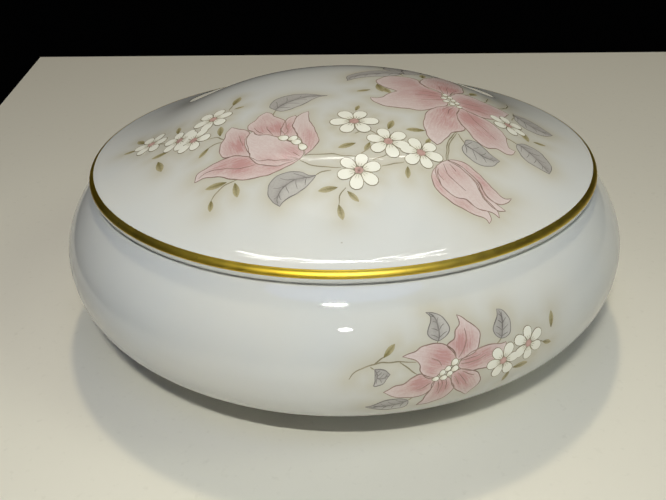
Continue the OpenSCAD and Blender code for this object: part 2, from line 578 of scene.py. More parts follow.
def pen_tree():
    """Draws each edge path as a flat ribbon as wide as the path's pen values."""
    tree, given = new_tree("pen strokes", [("Width", "Float", 1.0)])
    path = add(tree, "GeometryNodeMeshToCurve", given["Geometry"])
    flat = add(tree, "GeometryNodeSetCurveNormal", path.outputs[0])
    flat.mode = "Z_UP"
    section = add(tree, "GeometryNodeCurvePrimitiveQuadrilateral", 2.0, 2.0)
    half_width = maths(tree, "MULTIPLY", read_value(tree, "pen"), given["Width"])
    ribbon = add(tree, "GeometryNodeCurveToMesh", flat.outputs[0], section.outputs[0],
                 into={"Scale": half_width, "Fill Caps": True})
    return end_tree(tree, given, ribbon.outputs[0])


PEN = pen_tree()


def draw(name, strokes, height, place, finish):
    """Lays strokes, (points, half width), on the porcelain as thin closed ribbons."""
    points, edges, pens = [], [], []
    for path, width in strokes:
        start, count = len(points), len(path)
        points += [(x, y, 0) for x, y in hand(path)]
        edges += [(start + i, start + i + 1) for i in range(count - 1)]
        t = np.linspace(0, 1, count)
        pens += list(width * (0.35 + 0.65 * np.sin(np.pi * np.clip(t, 0.02, 0.98)) ** 0.5))
    obj = run_tree(mesh_object(name + "_paths", points, edges, pen=pens), PEN,
                   {"Width": 1.0, "Finish": finish}, name)
    return lay_flat(obj, height, place)


def lay_flat(obj, height, place):
    """Moves a flat mesh made about z = 0 on to the porcelain, its top at a height."""
    flat = coords(obj.data)
    up = np.where(flat[:, 2] > 0, height, -SUNK)
    set_coords(obj.data, place(flat[:, 0], flat[:, 1], up))
    face_outwards(obj.data)
    soften(obj.data)
    return obj


# ---- blossoms and leaflets

def one_petal(tree, size):
    """A petal along X, from its start to 1, with its top at z = 1 and its back at -1."""
    disc = add(tree, "GeometryNodeMeshCircle", 14, 1.0, fill_type="TRIANGLE_FAN")
    fine = add(tree, "GeometryNodeSubdivideMesh", disc.outputs[0], 2)
    at = add(tree, "ShaderNodeSeparateXYZ", add(tree, "GeometryNodeInputPosition").outputs[0])
    x, y = at.outputs["X"], at.outputs["Y"]
    reach = maths(tree, "SUBTRACT", 1.0, size["Start"])
    along = maths(tree, "MULTIPLY", maths(tree, "MULTIPLY", maths(tree, "ADD", x, 1.0), 0.5),
                  reach)
    along = maths(tree, "ADD", along, size["Start"])
    along = maths(tree, "ADD", along, maths(tree, "MULTIPLY", x, size["Border"]))
    slim = maths(tree, "SQRT", maths(tree, "MAXIMUM", 0.0, maths(
        tree, "SUBTRACT", 1.0, maths(tree, "MULTIPLY", x, x))))
    lens = maths(tree, "ADD", maths(tree, "SUBTRACT", 1.0, size["Point"]),
                 maths(tree, "MULTIPLY", size["Point"], slim))
    broad = maths(tree, "ADD", 1.0, maths(tree, "MULTIPLY", x, 0.22))
    half = maths(tree, "ADD", maths(tree, "MULTIPLY", size["Width"], broad), size["Border"])
    wide = maths(tree, "MULTIPLY", maths(tree, "MULTIPLY", y, half), lens)
    marked = store_value(tree, fine.outputs[0], "along", along)
    marked = store_value(tree, marked, "across", y)
    place = add(tree, "ShaderNodeCombineXYZ", along, wide, -1.0).outputs[0]
    flat = add(tree, "GeometryNodeSetPosition", marked, into={"Position": place})
    thick = add(tree, "GeometryNodeExtrudeMesh", flat.outputs[0], mode="FACES",
                into={"Offset": (0, 0, 1), "Offset Scale": 2.0, "Individual": False})
    back = add(tree, "GeometryNodeFlipFaces", flat.outputs[0])
    both = add(tree, "GeometryNodeJoinGeometry")
    tree.links.new(thick.outputs[0], both.inputs[0])
    tree.links.new(back.outputs[0], both.inputs[0])
    return add(tree, "GeometryNodeMergeByDistance", both.outputs[0],
               into={"Distance": 1e-4}).outputs[0]


def chance(tree, seed):
    """A random number from -1 to 1 for each petal."""
    node = add(tree, "FunctionNodeRandomValue", data_type="FLOAT",
               into={2: -1.0, 3: 1.0, "Seed": seed})
    return node.outputs[1]


def floret_tree():
    """Stands a ring of petals at each point. One petal makes a leaflet or a stamen.

    The points carry "reach", the petal's length, and "heading", the way it points."""
    tree, size = new_tree("florets", [
        ("Petals", "Int", 6), ("Start", "Float", 0.2), ("Width", "Float", 0.3),
        ("Point", "Float", 0.0), ("Unevenness", "Float", 0.0), ("Border", "Float", 0.0),
        ("Seed", "Int", 1)])
    petal = one_petal(tree, size)
    ring = add(tree, "GeometryNodeDuplicateElements", domain="POINT",
               into={"Geometry": size["Geometry"], "Amount": size["Petals"]})
    step = maths(tree, "DIVIDE", math.tau, size["Petals"])
    turned = maths(tree, "MULTIPLY", ring.outputs["Duplicate Index"], step)
    bearing = maths(tree, "ADD", read_value(tree, "heading"), turned)
    sway = maths(tree, "MULTIPLY", chance(tree, size["Seed"]), size["Unevenness"])
    bearing = maths(tree, "ADD", bearing, sway)
    growth = chance(tree, maths(tree, "ADD", size["Seed"], 7.0))
    bigger = maths(tree, "ADD", 1.0, maths(tree, "MULTIPLY", maths(
        tree, "MULTIPLY", growth, size["Unevenness"]), 0.6))
    length = maths(tree, "MULTIPLY", read_value(tree, "reach"), bigger)
    stood = add(tree, "GeometryNodeInstanceOnPoints", into={
        "Points": ring.outputs[0], "Instance": petal,
        "Rotation": add(tree, "ShaderNodeCombineXYZ", 0.0, 0.0, bearing).outputs[0],
        "Scale": add(tree, "ShaderNodeCombineXYZ", length, length, 1.0).outputs[0]})
    return end_tree(tree, size, stood.outputs[0])


FLORET = floret_tree()


def florets(name, spots, height, place, finish, **sizes):
    """Blossoms, leaflets or stamens at spots (x, y, reach, heading in degrees)."""
    spots = np.array(spots, dtype=float)
    points = np.column_stack([spots[:, :2], np.zeros(len(spots))])
    start = mesh_object(name + "_spots", points, reach=spots[:, 2],
                        heading=np.radians(spots[:, 3]))
    return lay_flat(run_tree(start, FLORET, dict(sizes, Finish=finish), name), height, place)


# ---- finishes

def new_finish(name):
    """A material, its node tree, its shader and the object coordinates."""
    finish = bpy.data.materials.new(name)
    finish.use_nodes = True
    tree = finish.node_tree
    return finish, tree, tree.nodes["Principled BSDF"], add(
        tree, "ShaderNodeTexCoord").outputs["Object"]


def noise(tree, where, scale, detail=2.0, roughness=0.5):
    return add(tree, "ShaderNodeTexNoise", into={
        "Vector": where, "Scale": scale, "Detail": detail, "Roughness": roughness}).outputs["Fac"]


def span(tree, value, low, high, out_low=0.0, out_high=1.0):
    node = add(tree, "ShaderNodeMapRange", value, low, high, out_low, out_high, clamp=True)
    return node.outputs[0]


def blend(tree, share, first, second):
    """Mixes two colours, each a socket or (r, g, b)."""
    first, second = [(*c, 1.0) if isinstance(c, tuple) else c for c in (first, second)]
    return add(tree, "ShaderNodeMix", data_type="RGBA",
               into={"Factor": share, 6: first, 7: second}).outputs[2]


def value_of(tree, label):
    return add(tree, "ShaderNodeAttribute", attribute_name=label).outputs["Fac"]


def bump(tree, height, strength, distance, normal=None):
    return add(tree, "ShaderNodeBump", into={
        "Strength": strength, "Distance": distance, "Height": height,
        "Normal": normal}).outputs[0]


def glaze(tree, shader, where, satin=0.0):
    """The clear glaze: gloss with a slight ripple, and more satin over the prints."""
    ripple = bump(tree, noise(tree, where, 70.0, 1.0), 0.25, 0.10 * MM)
    peel = bump(tree, noise(tree, where, 700.0, 2.0), 0.10, 0.02 * MM, ripple)
    tree.links.new(peel, shader.inputs["Normal"])
    shader.inputs["IOR"].default_value = 1.5
    gloss = span(tree, noise(tree, where, 240.0), 0.3, 0.7, satin + 0.015, satin + 0.045)
    tree.links.new(gloss, shader.inputs["Roughness"])


WHITE = (0.665, 0.665, 0.65)
COOL_WHITE = (0.64, 0.655, 0.665)
TINT = (0.51, 0.455, 0.325)
KILN_SPECK = (0.20, 0.17, 0.13)
# How much less glossy the glaze is over a print
PRINT_SATIN = 0.12


def porcelain_finish(name):
    """White body under the glaze, with the prints' soft tint and a few kiln specks."""
    finish, tree, shader, where = new_finish(name)
    glaze(tree, shader, where)
    body = blend(tree, span(tree, noise(tree, where, 35.0), 0.35, 0.65), WHITE, COOL_WHITE)
    cloud = span(tree, noise(tree, where, 160.0, 3.0), 0.25, 0.75, 0.75, 1.1)
    tinted = blend(tree, maths(tree, "MULTIPLY", value_of(tree, "tint"), cloud), body, TINT)
    cells = add(tree, "ShaderNodeTexVoronoi", feature="F1",
                into={"Vector": where, "Scale": 110.0})
    speck = span(tree, cells.outputs["Distance"], 0.012, 0.03, 1.0, 0.0)
    rare = maths(tree, "GREATER_THAN", add(
        tree, "ShaderNodeSeparateXYZ", cells.outputs["Color"]).outputs["X"], 0.965)
    dots = maths(tree, "MULTIPLY", maths(tree, "MULTIPLY", speck, rare), 0.55)
    tree.links.new(blend(tree, dots, tinted, KILN_SPECK), shader.inputs["Base Color"])
    shader.inputs["Subsurface Weight"].default_value = 0.08
    shader.inputs["Subsurface Radius"].default_value = (1.0, 0.9, 0.8)
    shader.inputs["Subsurface Scale"].default_value = 0.8 * MM
    return finish


def gilt_finish():
    """Fired gold: satin, brighter and browner in places, rubbed to specks here and there."""
    finish, tree, shader, where = new_finish("fired_gold")
    broad = span(tree, noise(tree, where, 45.0, 3.0), 0.35, 0.65)
    gold = blend(tree, broad, (0.74, 0.50, 0.04), (0.86, 0.64, 0.10))
    fine = span(tree, noise(tree, where, 1500.0, 4.0, 0.7), 0.60, 0.70)
    patchy = span(tree, noise(tree, where, 50.0, 2.0), 0.50, 0.66)
    worn = maths(tree, "MULTIPLY", maths(tree, "MULTIPLY", fine, patchy), 0.8)
    tree.links.new(blend(tree, worn, gold, (0.10, 0.06, 0.015)), shader.inputs["Base Color"])
    shader.inputs["Metallic"].default_value = 1.0
    tree.links.new(span(tree, noise(tree, where, 500.0, 3.0), 0.3, 0.7, 0.40, 0.50),
                   shader.inputs["Roughness"])
    return finish


def grained(tree, where, share, scale, grain):
    """A share from 0 to 1, broken up by the fine grain of the print."""
    speckle = span(tree, noise(tree, where, scale, 2.0), 0.3, 0.7, -grain, grain)
    return add(tree, "ShaderNodeMath", share, speckle, operation="ADD",
               use_clamp=True).outputs[0]


def transfer_finish(name, pale, deep, fine_lines=0.0):
    """A printed colour under the glaze, from pale to deep as its "tone" rises."""
    finish, tree, shader, where = new_finish(name)
    glaze(tree, shader, where, PRINT_SATIN)
    tone = value_of(tree, "tone")
    if fine_lines:
        streaks = add(tree, "ShaderNodeCombineXYZ",
                      maths(tree, "MULTIPLY", value_of(tree, "along"), 0.35),
                      maths(tree, "MULTIPLY", value_of(tree, "across"), 3.2), 0.0)
        lines = span(tree, noise(tree, streaks.outputs[0], 1.0, 2.0), 0.3, 0.7,
                     -fine_lines, fine_lines)
        lines = maths(tree, "MULTIPLY", lines, maths(tree, "ADD", tone, 0.3))
        tone = maths(tree, "ADD", tone, lines)
    tone = grained(tree, where, tone, 2600.0, 0.12)
    tree.links.new(blend(tree, tone, pale, deep), shader.inputs["Base Color"])
    return finish


def floret_finish(name, inner, outer, start, end, grain=0.06, rib=0.0):
    """A printed colour that changes from a floret's middle to its tip and its sides."""
    finish, tree, shader, where = new_finish(name)
    glaze(tree, shader, where, PRINT_SATIN)
    share = span(tree, value_of(tree, "along"), start, end)
    if rib:
        ridge = maths(tree, "ABSOLUTE", value_of(tree, "across"))
        share = maths(tree, "ADD", share, span(tree, ridge, 0.0, 0.7, -rib, rib))
    share = grained(tree, where, share, 2200.0, grain)
    tree.links.new(blend(tree, share, inner, outer), shader.inputs["Base Color"])
    return finish


def ink_finish(name, colour, faded):
    """A drawn line, fainter in places along its length."""
    finish, tree, shader, where = new_finish(name)
    glaze(tree, shader, where, PRINT_SATIN)
    share = span(tree, noise(tree, where, 420.0, 3.0), 0.35, 0.65)
    tree.links.new(blend(tree, share, colour, faded), shader.inputs["Base Color"])
    return finish


LID_PORCELAIN = porcelain_finish("lid_porcelain")
BOWL_PORCELAIN = porcelain_finish("bowl_porcelain")
GOLD = gilt_finish()
PINK = transfer_finish("pink_transfer", (0.69, 0.595, 0.585), (0.53, 0.305, 0.30), 0.24)
GREY = transfer_finish("grey_transfer", (0.55, 0.53, 0.51), (0.35, 0.33, 0.32))
OLIVE = floret_finish("olive_transfer", (0.20, 0.17, 0.07), (0.44, 0.39, 0.24), 0.0, 1.0,
                      0.15, 0.3)
ENAMEL = floret_finish("white_enamel", (0.74, 0.71, 0.61), (0.86, 0.85, 0.78), 0.2, 0.55)
HEART = floret_finish("pink_enamel", (0.66, 0.43, 0.39), (0.54, 0.34, 0.31), 0.0, 1.0, 0.2)
SHADE = ink_finish("olive_shade", (0.20, 0.17, 0.11), (0.34, 0.30, 0.21))
ROSE_INK = ink_finish("rose_ink", (0.23, 0.145, 0.12), (0.38, 0.27, 0.235))
GREY_INK = ink_finish("grey_ink", (0.17, 0.155, 0.15), (0.30, 0.28, 0.27))
STALK_INK = ink_finish("stalk_ink", (0.24, 0.21, 0.13), (0.37, 0.33, 0.24))

# ---- the spray on the lid

# A petal is its runs, end to end from the heart, then its blush spots (x, y, radius, depth).
# Each run of a petal or a leaf leaves out its first point, which is the last run's end.
LID_PETALS = [
    # The half-open flower, its back petals first
    ([[(-19.6, -27.3), (-22, -26.7), (-23.7, -26.2), (-24.7, -24.2), (-24.7, -22), (-24, -20),
       (-24, -18.2), (-22.8, -16.6)],
      [(-21.4, -17.9), (-19.6, -19.1), (-18.9, -20.6), (-19.2, -23), (-18.6, -26),
       (-18, -28.2)]],
     [(-20, -24, 3.2, 0.9), (-19.5, -21.5, 2, 0.6)]),
    ([[(-18.2, -28.2), (-20, -27.1), (-22, -26.7), (-24.2, -27), (-26.5, -27.8), (-28.3, -28.6),
       (-28.9, -29.6), (-29, -31.1)],
      [(-26.8, -30.7), (-24.3, -31.3), (-22, -32.5), (-20, -33.5), (-17.5, -33.9),
       (-14.5, -33.8), (-12, -33.1), (-9.5, -31.9), (-8, -30.8)],
      [(-12, -30.5), (-16.5, -29.6)]],
     [(-19.5, -29.2, 3, 1.0), (-23.5, -28.1, 2.6, 0.7), (-13, -32.8, 3.5, 0.6),
      (-10, -31.5, 2, 0.6)]),
    ([[(-15, -22.3), (-17, -21.7), (-18.2, -20.2), (-19.2, -19), (-19.2, -17.2), (-18.1, -15.8),
       (-17.3, -14.2), (-15.9, -12.7)],
      [(-14.7, -13.8), (-13.9, -15.2), (-12.7, -16.5), (-11.6, -18), (-11.3, -20), (-10.8, -22),
       (-12, -23.8)]],
     [(-12.5, -20.5, 3, 0.9), (-16, -20.5, 2.4, 0.7), (-15, -17, 3, 0.35)]),
    ([[(-12.2, -21), (-11.9, -19), (-11.5, -17.6), (-10.9, -16.6), (-9.5, -15.6)],
      [(-9.3, -17), (-9.9, -19), (-9.9, -20.6), (-9.2, -22.2), (-8.9, -23.8), (-10.5, -24.4),
       (-12.4, -23.6)]],
     [(-10.8, -20.5, 2.6, 0.9)]),
    ([[(-7.2, -28), (-7.9, -25.8), (-8.9, -23.6), (-9.3, -21.8), (-10, -20), (-9.6, -18),
       (-9.2, -16.4), (-8.4, -15.2), (-6.9, -14.2)],
      [(-6.8, -16.5), (-6.3, -19.3), (-5.5, -21.7), (-4.8, -24), (-4.6, -26.2), (-5.4, -28.2),
       (-7.3, -30)]],
     [(-6, -24.5, 3, 0.6), (-6.8, -28, 2.2, 0.7)]),
    ([[(-9.5, -31.3), (-12, -31.9), (-14.5, -31.4), (-16.6, -30.3), (-17.9, -28.6),
       (-18.2, -27.2), (-19.1, -25.6), (-19.5, -23.5), (-19.2, -21.5), (-18.2, -20.1)],
      [(-17.6, -21.3), (-16.3, -21.9), (-14.6, -22.5), (-12.8, -23.6), (-11, -25), (-9.3, -26.1),
       (-8.1, -27.4), (-7.4, -29), (-8, -30.6)]],
     [(-9.5, -29.5, 3, 0.7), (-14, -31, 2.5, 0.5)]),
    # The open flower: top, left, right, and the two that hang down
    ([[(21.5, 1.2), (19.8, 2.7), (18.7, 5), (18.8, 7.8), (20, 10.5), (21.8, 13), (23.2, 15.2),
       (25.2, 16.6)],
      [(27, 15), (28.4, 12.5), (28.9, 9.5), (28.8, 6.5), (28.2, 3.8), (26.6, 1.8), (25.2, 0.5),
       (24.4, -1.6), (23.4, -0.6)]],
     [(25, 3.5, 3.4, 1.0), (24, 8, 3.5, 0.6), (22, 3.5, 2.5, 0.6)]),
    ([[(20.8, 0.9), (19.3, 2.8), (18.4, 5.2), (18.2, 7.6), (16.5, 9.3), (13.5, 9.8), (11, 9.2),
       (9.3, 7.2), (8.3, 5), (8.4, 2.8), (9.8, 0.5), (12.6, -2.4)],
      [(11.2, -3.6), (10, -5.2), (9.2, -6.6), (7.8, -7.3), (6.4, -7)],
      [(6.9, -9), (8.3, -10.9), (10.5, -12), (13.5, -12.2), (16.3, -12.6), (18.4, -11.8),
       (20.5, -10), (23, -7.8), (23.4, -5), (22.5, -2.5), (22.8, -0.4)]],
     [(20.5, -2, 4.5, 1.0), (16, 4, 4, 0.6), (15, -3, 4, 0.45), (19, -8, 3, 0.5)]),
    ([[(25.2, -0.5), (26.5, 1.6), (28.6, 2.5), (31, 2.2), (33.5, 1.4), (36, 1.3), (38.6, 0.2)],
      [(37.2, -2.8), (35.5, -5.5), (33.7, -7.8), (31.2, -9.2), (28.6, -9.1), (26.9, -8),
       (25.8, -6.2), (24.6, -2.4)]],
     [(29.5, -4.5, 4, 1.0), (33, -2.5, 3.5, 0.6)]),
    ([[(24.9, -10.8), (24.6, -13.5), (25.2, -15.8), (26.3, -17.6), (27, -19.5), (28.3, -21.1),
       (30, -21.6), (32, -20.9), (34, -21.5), (35.5, -20.7), (36.2, -19.3)],
      [(35, -18.8), (34.7, -17), (35, -15), (34.4, -13), (33.2, -11.3), (31.3, -9.8), (29, -8.9),
       (27, -8), (25.8, -8)]],
     [(27.5, -12, 3.5, 1.0), (29.5, -16.5, 3.5, 0.6)]),
    ([[(22.4, -8.6), (20.2, -10.3), (18.4, -12.6), (17.5, -15), (17.2, -17), (16.8, -19),
       (17.2, -21.5), (17.6, -23.5), (18.9, -25)],
      [(19.9, -24.2), (21.2, -22.2), (22.3, -20.3), (23.6, -19.2), (24.9, -18.4), (25.7, -17),
       (25, -14.8), (24.6, -12.5), (25.2, -10.3), (25.6, -8.4), (24.6, -7.6)]],
     [(23.5, -11, 3.5, 0.9), (22, -15.5, 4, 0.6)]),
    # The drooping bud
    ([[(17.2, -33.2), (17.1, -35.2), (18, -37.2), (19.7, -39), (22, -40.7), (24.6, -42),
       (26.1, -42.6), (26.7, -43.7)],
      [(27.3, -42.2), (27, -40.7), (25.5, -40.2), (24, -39.3), (23, -38.3), (21, -38),
       (19.2, -36.4), (18.4, -34.5), (18.3, -31.4)]],
     [(18.5, -35.5, 2.4, 0.8), (22, -39.5, 2.5, 0.55)]),
    ([[(22.6, -28.4), (24.8, -29), (26.7, -30.7), (28.1, -32.6), (29.3, -34.5), (30.7, -36),
       (32.2, -35.7)],
      [(31.4, -37.1), (30, -37.9), (28.4, -37.7), (27.2, -36), (26.7, -34), (25.8, -32.3),
       (24.3, -30.6), (22.5, -29.5), (20.8, -28.9)]],
     [(26.8, -32.5, 2.6, 0.8), (24, -29.7, 2, 0.6)]),
    ([[(22.6, -29.4), (24.6, -31), (26.1, -33), (27, -35.2), (28, -37.2), (29.3, -38.4),
       (30.4, -39.6)],
      [(29.2, -39.9), (28, -39.2), (26.8, -37.4), (26.2, -35.2), (25.4, -33), (24, -31.2),
       (22.4, -29.9), (20.8, -29)]],
     [(26.4, -35, 2.2, 0.8)]),
    ([[(18.8, -30.5), (18, -32.2), (18.2, -34.5), (19.2, -36.4), (21, -38), (23.2, -38.3),
       (24.5, -39.6), (26, -40.5), (28, -40.7), (29, -41.7)],
      [(29, -40.4), (28.2, -39), (27.1, -37.4), (26.5, -35.5), (26, -33.6), (24.9, -32),
       (23.5, -30.6), (22, -29.6), (20.6, -29)]],
     [(19.5, -33, 2, 0.5), (22.3, -31.3, 2, 0.45)]),
]
LID_FOLDS = [
    [(-28.2, -30.3), (-27, -29.4), (-25, -29.2), (-23, -29.7), (-21, -30.3), (-19, -30.8),
     (-17, -30.5)],
    [(-21, -20.6), (-20.4, -22.4), (-19.9, -24.4)],
    [(-8.3, -30), (-9.6, -29)], [(-8.6, -30.6), (-10.5, -30)], [(-9.4, -31), (-11.6, -31)],
    [(-17.9, -18.9), (-17.3, -20.2), (-16, -21.6)],
    [(-15.3, -19), (-14.9, -20.6), (-13.9, -22.7)],
    [(-12.4, -20.4), (-12, -21.8), (-11.4, -23)],
    [(22.6, -1.5), (20, -1.2), (17.5, -0.6)], [(22.4, -3), (19.5, -3.4), (16.5, -3.4)],
    [(22.6, -4.6), (20, -5.8), (17.5, -6.6)],
    [(24.6, -1), (25.4, 1.5), (26.8, 3.5)], [(23.4, -0.8), (22.8, 2), (22.9, 5)],
    [(24.2, -0.4), (24.4, 3), (25, 6)],
    [(26, -4.6), (29, -4), (32, -3)], [(26.6, -6.4), (29.5, -6.6), (32.4, -6.4)],
    [(27.2, -8.6), (28.2, -11.5), (30, -14.6), (32.4, -17.6)],
    [(24.4, -8.4), (23.2, -10.4), (22.6, -12.6)], [(23.4, -8.6), (21.6, -10.6)],
    [(19.7, -30.3), (20.1, -32), (21, -33.6), (22.6, -35.2), (23.4, -36)],
    [(21, -29.8), (22, -31.6)], [(18.6, -31.8), (18.5, -33), (19.3, -34.4)],
]
# A leaf is its two sides, stalk to tip and tip to stalk.
LID_LEAVES = [
    [[(-15.2, -10.5), (-15.3, -8.5), (-14.6, -6.5), (-13, -5), (-11, -4.2), (-8.5, -4),
      (-6.5, -4.5), (-4.5, -5.3), (-3, -5.8)],
     [(-5, -6.3), (-6.2, -7.6), (-7.3, -9.2), (-9, -11), (-10.8, -12.4), (-12.6, -12.9),
      (-14, -12.3)]],
    [[(-6.5, -35), (-8, -34.2), (-9.8, -33.8), (-11.5, -34.1), (-13, -35), (-13.9, -36.5),
      (-13.9, -38.3), (-13, -40), (-11.6, -41.6)],
     [(-10.9, -40.6), (-9.6, -39.6), (-8, -38.6), (-6.5, -37.5), (-5.7, -36.4), (-5, -35.2)]],
    [[(25.2, -21.5), (26.3, -20.9), (28, -21.1), (29.2, -22.3), (30.3, -23.8), (31.9, -24.7)],
     [(31.2, -25.6), (30.2, -27), (28.3, -27.9), (26.3, -27.5), (24.8, -26.2), (24.2, -24.4),
      (24.9, -22.4)]],
    [[(39.2, -14.6), (41, -14.8), (42.4, -16), (43.2, -17.8), (43.6, -20), (43.4, -22.3),
      (42.4, -24.1)],
     [(41, -23.1), (39.3, -22.3), (38, -21), (37.2, -19.3), (36.8, -17.4), (37.3, -15.8)]],
    [[(42, 2.8), (44.2, 2.4), (46, 0.8), (47.2, -0.9), (48.4, -3)],
     [(47.2, -4.4), (45.6, -5.4), (43.3, -5.8), (41, -4.8), (39.8, -2), (39.9, 1.8)]],
    [[(12.8, 15.4), (9.8, 15.6), (6.8, 14), (3.8, 11.6), (1.6, 8.8), (1.4, 4.6)],
     [(3, 6.2), (5.2, 7.8), (8, 8.8), (10.8, 9.4), (13.2, 10.8), (14.8, 13)]],
    [[(12.6, 15.4), (10.8, 18.4), (11.4, 21.4), (14.4, 23.4), (18, 24.2)],
     [(19.6, 21.2), (19.8, 17.8), (18.4, 14.8), (15.4, 13)]],
]
# Blossoms are (x, y, petal length, heading of the first petal)
LID_BLOSSOMS = [
    (2.6, -19.2, 4.9, 2), (9.2, -26.1, 4.4, -15), (15.5, -28.3, 4.2, -10),
    (3.2, -34.3, 4.3, 20), (-42.2, -9.8, 4.0, -8), (-34.8, -14.3, 3.8, 38),
    (-31.3, -16.7, 3.9, -14), (-27.8, -10.4, 4.2, 6), (36.8, -8, 4.1, -25),
]
# Leaflets are (x, y, length, heading), placed by their stalk end
LID_LEAFLETS = [
    (-24, -5.6, 4.8, 76), (-23.4, -7.9, 2.2, 12), (-44.4, -7.6, 4, 125), (-45.6, -9.8, 3.2, 175),
    (-35.8, -10.6, 3.4, 97), (-25.2, -18.8, 3.9, 95), (-27.2, -21.6, 3.1, 232),
    (-38.7, -19.6, 4.6, -70), (-36.8, -17, 3.8, 184), (-22.2, -33.4, 4.3, 186),
    (-20.6, -34, 3.9, -78), (-24.9, -37.2, 3, -87), (8.3, 2.4, 5.6, -80), (8.9, 0.6, 5, -66),
    (6.6, -2, 3.4, 201), (3, -14.4, 2.8, 74), (9.4, -22, 3.9, 72), (17, -21, 4, 186),
    (2.8, -27, 3.8, 202), (5.6, -26.6, 3, -112), (12.6, -32.4, 3, -93), (-0.8, -38.2, 3.8, 190),
    (0.9, -39, 3.2, -48), (-0.7, -41.9, 3.6, -78), (39.6, -7.4, 5.2, -80), (41.8, -11.6, 3, 6),
    (16.6, -25.6, 2.6, 60), (30, 4, 4.4, 62), (19.6, 11, 4.6, 84),
]
LID_STAMENS = [
    (-12.6, -23.7, 2.1, -25), (-10.6, -25, 1.9, 22), (-9.9, -25.5, 2.0, -25),
    (-8.2, -26.7, 2.0, -60), (23.3, -2.3, 1.5, 80), (24, -3.4, 1.4, 60), (22.2, -4, 1.4, 25),
    (24.7, -5, 1.5, 75), (22.5, -5.9, 1.5, 35), (25.4, -6.2, 1.4, 70), (23.9, -7.2, 1.4, 50),
    (25.3, -7.8, 1.3, 40),
]
LID_STALKS = [
    [(-7.4, -30), (-5, -30), (-2, -30.1), (1, -30.7), (3, -30.8)],
    [(-8, -31.2), (-6, -32.6), (-3, -33.4), (-0.2, -33.6)],
    [(7.6, -33), (10, -32.2), (12, -31.4)], [(6, -31.6), (8, -30.4), (9, -29.6)],
    [(20.5, -28.9), (20.9, -25.5), (21.8, -22.5), (23.3, -19.8), (24.4, -18.8)],
    [(20.8, -28.9), (21.3, -25.5), (22.2, -22.6), (23.8, -19.6)],
    [(24, -19.8), (24.4, -21), (24.9, -22.6)], [(-13.9, -12.2), (-14.3, -13.6), (-14.2, -15)],
    [(-28, -18.3), (-26, -18.8), (-24.3, -20.3)], [(-27.4, -21.7), (-25.5, -21), (-24.3, -21.2)],
    [(-20.3, -33.5), (-22.5, -33.9), (-24, -35.5), (-24.9, -37.2)],
    [(-5, -35.2), (-3.6, -34.5), (-2, -34.2)], [(35, -15), (36.2, -15.2), (37.3, -15.8)],
    [(33, 1.6), (34.2, 4.5), (35, 8)], [(36, 1.2), (38, 3.6), (40, 8), (40.6, 12)],
    [(38.5, -3.6), (39.8, -0.2), (40.4, 3)], [(3, -30.8), (5, -28.6), (6.4, -27.4)],
    [(-38.6, -12.6), (-39.8, -11.6), (-40.8, -11)], [(-30.2, -13.8), (-29, -12.8)],
    [(-24.6, -8), (-24.2, -6.6), (-24, -5.4)], [(0.6, -38.2), (-0.4, -40), (-0.7, -41.9)],
    [(-45.6, -9.8), (-44.6, -9.9)], [(15, 11), (14.6, 12.6), (15, 14)],
    [(28.6, 2.6), (29.4, 3.6), (30, 4.4)], [(2.6, -23.8), (5, -22.6), (7.4, -24)],
]

# ---- the spray on the bowl

BOWL_PETALS = [
    ([[(20.6, 2.8), (21.8, 3.3), (23.6, 4), (25.8, 4.3), (27.9, 4), (29.9, 3.8)],
      [(29.8, 2.6), (29.2, 1.2), (27.8, 0.3), (25.5, -0.1), (23, 0.2), (21, 0.8), (20.1, 1.8)]],
     [(22.5, 2.4, 2.6, 1.0), (25.5, 3.2, 2.2, 0.8)]),
    ([[(19.6, 3.8), (19.3, 4.9), (18.3, 5.9), (19.7, 6.8), (20.1, 8.1), (21.2, 9.2), (21, 10.8)],
      [(22.3, 9.9), (23.6, 8.7), (24.7, 7.3), (24.6, 5.8), (24.1, 4.3), (23, 3.4), (21.6, 3.1),
       (20, 3)]],
     [(20.6, 5.6, 2.4, 1.0), (22.6, 5.6, 1.6, 0.6)]),
    ([[(19.4, 2.8), (19.7, 3.5), (19.4, 4.8), (18.3, 5.9), (17.2, 6.6), (15.6, 6.6), (13.6, 6.5),
       (12.2, 5.8), (10.1, 5.1)],
      [(11.2, 4.7), (12.4, 4.3), (13.2, 3.1), (13.1, 1.9), (14.1, 0.7), (15.6, 0.3), (17, 1.2),
       (18.5, 2)]],
     [(17.6, 4, 2.6, 1.0), (15.4, 1.9, 1.8, 0.7)]),
    ([[(15.4, -0.8), (15.2, -2.4), (14.3, -3.8), (13.9, -5.2), (13.1, -6.5)],
      [(14.6, -6.5), (16.3, -6), (17.9, -5.4), (19.1, -4.2), (19.6, -2.9), (18.9, -1.4),
       (18.3, -0.1), (16.6, -0.1)]],
     [(17.2, -1.8, 2.2, 1.0), (16.8, -4.2, 2, 0.5)]),
    ([[(18.8, -0.6), (19, -1.8), (19.6, -3), (20.5, -4), (21.6, -5.1), (22.5, -6.2)],
      [(23.3, -5.2), (24.3, -4), (24.8, -2.5), (24.3, -1), (23.2, 0.1), (21.6, 0.7), (20.2, 1),
       (18.9, 0.4)]],
     [(20.5, -1, 2.4, 1.0), (22, -2.8, 2, 0.6)]),
    ([[(14.4, 0.9), (12.9, 1.4), (11.5, 0.9), (10.4, 0), (8.6, -0.5), (6.6, -1.7)],
      [(8, -2.6), (9.6, -3.3), (11.4, -3.6), (13.2, -3.5), (14.6, -2.9), (15.4, -1.9),
       (15.9, 0.2)]],
     [(13.4, -0.2, 2.4, 1.0), (11, -1.2, 2, 0.4)]),
]
